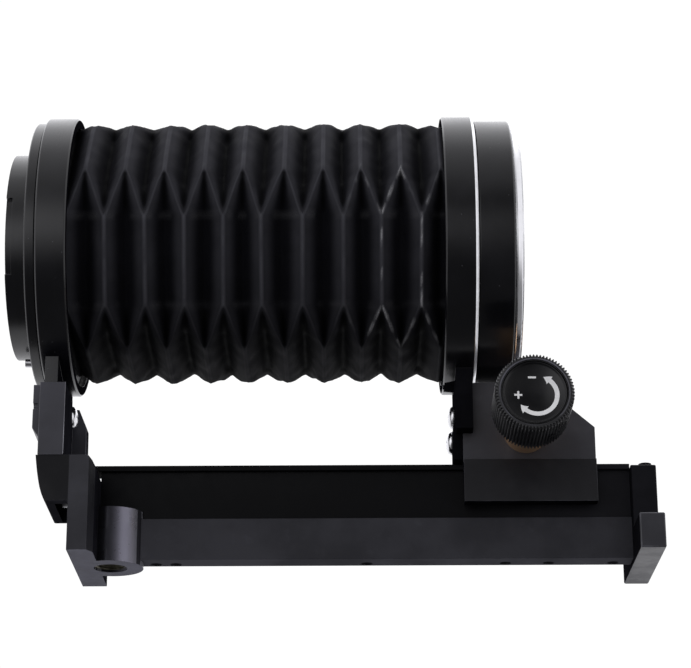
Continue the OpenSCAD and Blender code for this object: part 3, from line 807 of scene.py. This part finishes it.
def knob_grip():
    teeth, per_tooth = 72, 10
    n = teeth * per_tooth
    # outline from the back's centre hole over the grip and round the lip into the seat of the disc: (y, r, knurl)
    prof = [(-20.8, 2.55, 0), (-20.8, 6.9, 0), (-20.84, 7.9, 0.6), (-21.0, 8.25, 0.9), (-21.3, 8.5, 1)]
    prof += [(-21.3 - 1.3 * i, 8.55, 1) for i in range(1, 10)]
    prof += [(-34.3, 8.55, 1), (-34.42, 8.52, 1), (-34.7, 8.24, 0.8), (-34.8, 8.05, 0.5),
             (-34.8, 7.6, 0), (-34.8, 7.34, 0), (-34.76, 7.28, 0), (-34.5, 7.24, 0), (-34.5, 7.16, 0), (-34.72, 7.1, 0), (-34.72, 7.02, 0),
             (-33.2, 7.0, 0), (-33.2, 2.55, 0)]
    a = np.arange(n) * 2 * math.pi / n
    phase = (np.arange(n) % per_tooth) / per_tooth
    wave = 0.5 - 0.5 * np.cos(2 * math.pi * phase)
    wave = wave ** 1.4
    verts = []
    for y, r, k in prof:
        rr = r - 0.5 * k * wave
        verts.append(np.stack([KX + rr * np.cos(a), np.full(n, y), KZ + rr * np.sin(a)], -1))
    verts = np.concatenate(verts)
    obj = new_object("knob_grip", verts, grid_faces(len(prof), n, wrap_rows=True, wrap_cols=True), MAT["knob_black"], "knob_unit")
    recalc(obj)
    sharpen(obj, 50)
    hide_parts("knob")
    # painted highlight: a lighter ring on the lip round the disc
    paint(obj, moulded("knob_rim_highlight", (0.055, 0.055, 0.066), 0.4, mottle=0.9, spec=0.4),
          lambda c, n: c.y < -34.74 and 7.3 < math.hypot(c.x - KX, c.z - KZ) < 7.62)
    return obj


def dish_y(r):
    """Face of the dished disc: a raised rim, a sloping wall and a shallow bowl."""
    if r > 6.75:
        return -34.5
    if r > 6.35:
        t = (6.75 - r) / 0.4
        return -34.5 + 0.30 * t * t * (3 - 2 * t)
    return -34.2 + 0.75 * (1 - (r / 6.35) ** 2) ** 1.0


def knob_disc():
    n = 192
    rs = list(np.linspace(0.35, 6.0, 18)) + [6.2, 6.35, 6.42, 6.5, 6.58, 6.68, 6.75, 6.8, 6.88, 6.94]
    verts = [(KX, dish_y(0), KZ)]
    for r in rs:
        y = dish_y(r) if r < 6.9 else -34.45
        for k in range(n):
            t = 2 * math.pi * k / n
            verts.append((KX + r * math.cos(t), y, KZ + r * math.sin(t)))
    faces = [(0, 1 + k, 1 + (k + 1) % n) for k in range(n)]
    faces += grid_faces(len(rs), n, wrap_cols=True, start=1)
    # back of the disc
    b = len(verts)
    for k in range(n):
        t = 2 * math.pi * k / n
        verts.append((KX + 6.95 * math.cos(t), -33.22, KZ + 6.95 * math.sin(t)))
    last = 1 + (len(rs) - 1) * n
    faces += [(last + k, last + (k + 1) % n, b + (k + 1) % n, b + k) for k in range(n)]
    faces.append(tuple(b + k for k in range(n)))
    obj = new_object("knob_disc", verts, faces, MAT["knob_gloss"], "knob_unit")
    recalc(obj)
    sharpen(obj, 40)
    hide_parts("knob_cap")
    return obj


def decal(name, outline_fn, mat):
    """Thin raised print on the disc: a strip of quads given as pairs of points in the disc's plane."""
    pairs = outline_fn
    verts, faces = [], []
    th = 0.035
    for (a, b) in pairs:
        for p in (a, b):
            r = math.hypot(*p)
            verts.append((KX + p[0], dish_y(r) - th, KZ + p[1]))
    n = len(pairs)
    base = len(verts)
    for (a, b) in pairs:
        for p in (a, b):
            r = math.hypot(*p)
            verts.append((KX + p[0], dish_y(r) + 0.05, KZ + p[1]))
    for i in range(n - 1):
        a, b, c, d = 2 * i, 2 * i + 1, 2 * i + 3, 2 * i + 2
        faces.append((a, b, c, d))
        faces.append((base + a, base + d, base + c, base + b))
        faces.append((a, d, base + d, base + a))
        faces.append((b, base + b, base + c, c))
    faces.append((0, base, base + 1, 1))
    e = 2 * (n - 1)
    faces.append((e, e + 1, base + e + 1, base + e))
    obj = new_object(name, verts, faces, mat, "knob_unit")
    recalc(obj)
    sharpen(obj, 30)
    return obj


def arrow_pairs():
    """Curved arrow with a head at each end."""
    cx, cz, rm, half = 0.62, -0.42, 4.18, 0.48
    a0, a1 = math.radians(50), math.radians(-128)
    head = 1.55 / rm
    pairs = []
    # first head, its tip first
    for k in range(13):
        t = k / 12
        a = a0 + head * (1 - t)
        w = 0.02 + (1.02 - 0.02) * t
        pairs.append((a, w))
    pairs.append((a0 - 0.002, half))
    steps = 60
    for k in range(1, steps):
        pairs.append((a0 + (a1 - a0) * k / steps, half))
    pairs.append((a1 + 0.002, half))
    for k in range(13):
        t = k / 12
        a = a1 - head * t
        w = 1.02 - (1.02 - 0.02) * t
        pairs.append((a, w))
    return [((cx + (rm - w) * math.cos(a), cz + (rm - w) * math.sin(a)), (cx + (rm + w) * math.cos(a), cz + (rm + w) * math.sin(a))) for a, w in pairs]


def bar_pairs(cx, cz, length, width, angle):
    c, s = math.cos(angle), math.sin(angle)
    out = []
    for k in range(9):
        t = -length / 2 + length * k / 8
        out.append(((cx + t * c - width / 2 * s * -1, cz + t * s + width / 2 * c * -1), (cx + t * c - width / 2 * s, cz + t * s + width / 2 * c)))
    return out


def knob_print():
    decal("knob_arrow", arrow_pairs(), KNOB_PRINT)
    decal("knob_mark_loosen", bar_pairs(-0.45, 3.55, 1.7, 0.42, 0.0), KNOB_PRINT)
    decal("knob_mark_tighten_a", bar_pairs(-3.45, -0.35, 1.7, 0.42, 0.0), KNOB_PRINT)
    decal("knob_mark_tighten_b", bar_pairs(-3.45, 0.175, 0.66, 0.42, math.pi / 2), KNOB_PRINT)
    decal("knob_mark_tighten_c", bar_pairs(-3.45, -0.875, 0.66, 0.42, math.pi / 2), KNOB_PRINT)


knob_grip()
knob_disc()
knob_print()


# ---------------------------------------------------------------- camera, light and floor

F_PX, W_PX, H_PX = 2330.1, 691, 668
pitch, yaw, roll = math.radians(19.790), math.radians(-0.098), math.radians(-0.225)
fwd = Vector((math.sin(yaw) * math.cos(pitch), math.cos(yaw) * math.cos(pitch), math.sin(pitch)))
right = Vector((math.cos(yaw), -math.sin(yaw), 0))
up = right.cross(fwd)
r2 = math.cos(roll) * right + math.sin(roll) * up
u2 = -math.sin(roll) * right + math.cos(roll) * up
cam_data = bpy.data.cameras.new("camera")
cam_data.sensor_fit = "AUTO"
cam_data.sensor_width = 36.0
cam_data.lens = F_PX * 36.0 / W_PX
cam_data.clip_start, cam_data.clip_end = 0.01, 20
cam_data.dof.use_dof = False
cam = bpy.data.objects.new("camera", cam_data)
scene.collection.objects.link(cam)
cam.matrix_world = Matrix(((r2.x, u2.x, -fwd.x, 0.053125), (r2.y, u2.y, -fwd.y, -0.503487), (r2.z, u2.z, -fwd.z, -0.126188), (0, 0, 0, 1)))
scene.camera = cam

scene.view_settings.view_transform = "Standard"
scene.view_settings.look = "None"
scene.view_settings.exposure = 0.0
scene.view_settings.gamma = 1.0

world = bpy.data.worlds.new("studio")
scene.world = world
world.use_nodes = True
wt = world.node_tree
bg = wt.nodes["Background"]
out = wt.nodes["World Output"]
tc = wt.nodes.new("ShaderNodeTexCoord")
sep = wt.nodes.new("ShaderNodeSeparateXYZ")
wt.links.new(tc.outputs["Generated"], sep.inputs[0])


def w_range(src, a, b, c, d):
    n = wt.nodes.new("ShaderNodeMapRange")
    n.interpolation_type = "SMOOTHSTEP"
    for k, v in zip(("From Min", "From Max", "To Min", "To Max"), (a, b, c, d)):
        n.inputs[k].default_value = v
    wt.links.new(src, n.inputs["Value"])
    return n.outputs["Result"]


def w_math(op, a, b=None):
    n = wt.nodes.new("ShaderNodeMath")
    n.operation = op
    for i, v in enumerate((a, b)):
        if isinstance(v, (int, float)):
            n.inputs[i].default_value = v
        elif v is not None:
            wt.links.new(v, n.inputs[i])
    return n.outputs[0]


def w_stops(src, stops):
    """Brightness by elevation: degrees from the viewer's side over the top to the back."""
    n = wt.nodes.new("ShaderNodeValToRGB")
    el = n.color_ramp.elements
    while len(el) > 1:
        el.remove(el[-1])
    for i, (deg, v) in enumerate(stops):
        e = el[0] if i == 0 else el.new(deg / 360 + 0.5)
        e.position = deg / 360 + 0.5
        e.color = (v / 2, v / 2, v / 2, 1)
    wt.links.new(src, n.inputs["Fac"])
    return n.outputs["Color"]


def w_mix(fac, a, b):
    n = wt.nodes.new("ShaderNodeMix")
    n.data_type = "RGBA"
    wt.links.new(fac, n.inputs["Factor"])
    wt.links.new(a, n.inputs[6])
    wt.links.new(b, n.inputs[7])
    return n.outputs[2]


turn_up = w_math("ARCTAN2", sep.outputs["Z"], w_math("MULTIPLY", sep.outputs["Y"], -1.0))
level = w_math("ADD", w_math("MULTIPLY", turn_up, 1 / (2 * math.pi)), 0.5)
LOW = [(-180, 1.0), (-125, 1.0), (-108, 0.9), (-100, 0.10), (-26, 0.10)]
HIGH = [(48, 0.72), (60, 0.9), (75, 1.05), (100, 1.5), (130, 1.7), (180, 1.0)]
right_side = w_stops(level, LOW + [(-16, 0.15), (-10, 0.22), (-3, 0.31), (3, 0.38), (10, 0.40), (17, 0.30), (24, 0.18), (31, 0.22), (38, 0.36),
                     (48, 0.50), (60, 0.66), (75, 0.85), (100, 1.35), (130, 1.7), (180, 1.0)])
left_side = w_stops(level, LOW + [(-18, 0.5), (-10, 0.95), (-2, 1.45), (3, 1.68), (12, 1.7), (21, 1.4), (30, 0.85), (38, 0.6)] + HIGH)
leftness = w_range(sep.outputs["X"], 0.02, -0.25, 0.0, 1.0)
front = w_mix(leftness, right_side, left_side)
side_v = w_range(sep.outputs["Z"], -0.55, -0.15, 0.125, 0.5)
side_c = wt.nodes.new("ShaderNodeCombineColor")
for k in range(3):
    wt.links.new(side_v, side_c.inputs[k])
sideness = w_range(w_math("ABSOLUTE", sep.outputs["X"]), 0.35, 0.65, 0.0, 1.0)
sky = w_mix(sideness, front, side_c.outputs[0])
tint = wt.nodes.new("ShaderNodeMix")
tint.data_type = "RGBA"
tint.blend_type = "MULTIPLY"
tint.inputs["Factor"].default_value = 1.0
wt.links.new(sky, tint.inputs[6])
tint.inputs[7].default_value = (0.965, 0.965, 1.0, 1)
wt.links.new(tint.outputs[2], bg.inputs["Color"])
bg.inputs["Strength"].default_value = 2.0
seen = wt.nodes.new("ShaderNodeBackground")
seen.inputs["Color"].default_value = (1, 1, 1, 1)
seen.inputs["Strength"].default_value = 1.05
lp = wt.nodes.new("ShaderNodeLightPath")
mixw = wt.nodes.new("ShaderNodeMixShader")
wt.links.new(lp.outputs["Is Camera Ray"], mixw.inputs[0])
wt.links.new(bg.outputs[0], mixw.inputs[1])
wt.links.new(seen.outputs[0], mixw.inputs[2])
wt.links.new(mixw.outputs[0], out.inputs["Surface"])


def softbox(name, place, aim, size, power, colour=(1, 1, 1)):
    light = bpy.data.lights.new(name, "AREA")
    light.shape = "RECTANGLE"
    light.size, light.size_y = size
    light.energy = power
    light.color = colour
    obj = bpy.data.objects.new(name, light)
    obj.location = place
    obj.rotation_mode = "QUATERNION"
    obj.rotation_quaternion = (Vector(place) - Vector(aim)).to_track_quat("Z", "Y")
    scene.collection.objects.link(obj)
    obj.visible_camera = False
    return obj


MIDDLE = (0.05, 0.0, 0.05)
softbox("key_left", (-0.55, -0.62, 0.42), MIDDLE, (0.55, 0.75), 0.3)
softbox("overhead", (0.05, 0.15, 0.75), MIDDLE, (0.9, 0.5), 0.2)

floor_mat = Nodes("floor")
speck = floor_mat.noise(40, 2, 0.5)
floor_col = floor_mat.mix(floor_mat.ramp(speck, 0.3, 0.7), (0.80, 0.80, 0.80), (0.83, 0.83, 0.83))
floor_mat.set(Base_Color=floor_col, Roughness=0.6)
floor_mat.bsdf.inputs["Specular IOR Level"].default_value = 0.2
ft = floor_mat.t
geo = ft.nodes.new("ShaderNodeNewGeometry")
clear = ft.nodes.new("ShaderNodeBsdfTransparent")
mixf = ft.nodes.new("ShaderNodeMixShader")
ft.links.new(geo.outputs["Backfacing"], mixf.inputs[0])
ft.links.new(floor_mat.bsdf.outputs[0], mixf.inputs[1])
ft.links.new(clear.outputs[0], mixf.inputs[2])
ft.links.new(mixf.outputs[0], ft.nodes["Material Output"].inputs["Surface"])
plane = bpy.data.meshes.new("floor")
plane.from_pydata([(-3, -3, -0.0002), (3, -3, -0.0002), (3, 3, -0.0002), (-3, 3, -0.0002)], [], [(0, 1, 2, 3)])
plane.materials.append(floor_mat.mat)
floor = bpy.data.objects.new("floor", plane)
scene.collection.objects.link(floor)
floor.visible_shadow = False
floor.visible_diffuse = False
floor.visible_glossy = False
floor.visible_transmission = False
